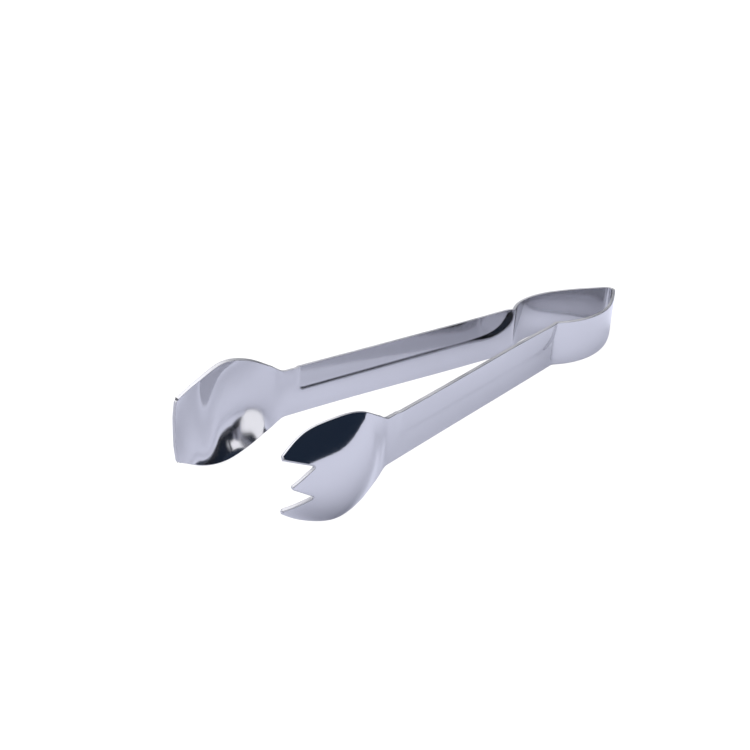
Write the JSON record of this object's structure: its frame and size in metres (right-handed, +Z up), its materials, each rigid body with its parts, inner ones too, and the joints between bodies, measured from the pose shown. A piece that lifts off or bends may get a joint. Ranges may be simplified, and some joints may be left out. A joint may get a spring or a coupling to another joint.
{
  "type": "ice tongs",
  "caption": "Sprung steel ice tongs: a dished spoon scoop and a tined fork scoop on two embossed strip arms, joined by a leaf-shaped spring bow.",
  "frame": {"origin": "on the resting surface, under the middle of the tongs' box, as they lie on the long edge of their strip", "axes": "+X along the tongs towards the bow's tip, +Y towards the spoon arm, +Z up from the surface they lie on"},
  "size_m": [0.2033, 0.0596, 0.034],
  "materials": {
    "polished_steel": "mirror-polished stainless steel strip with fine handling scratches"
  },
  "bodies": {
    "root": {"bow_tip": "polished_steel"},
    "spoon_side": {"bow_wall_spoon": "polished_steel", "spoon_arm": "polished_steel", "spoon_scoop": "polished_steel"},
    "fork_side": {"bow_wall_fork": "polished_steel", "fork_arm": "polished_steel", "fork_scoop": "polished_steel"}
  },
  "joints": [
    {"name": "spoon_side_flex", "type": "hinge", "parent": "root", "child": "spoon_side", "pos_m": [0.0991, 0.00165, 0.0081], "axis": [0.0494, 0, 0.9988], "range_deg": [0, 6.2], "stiffness_Nm_per_rad": 1.2},
    {"name": "fork_side_flex", "type": "hinge", "parent": "root", "child": "fork_side", "pos_m": [0.0991, -0.00165, 0.0081], "axis": [0.0494, 0, 0.9988], "range_deg": [-6.2, 0], "stiffness_Nm_per_rad": 1.2}
  ],
  "couplings": [
    {"joint": "fork_side_flex", "follows": "spoon_side_flex", "ratio": -1}
  ]
}
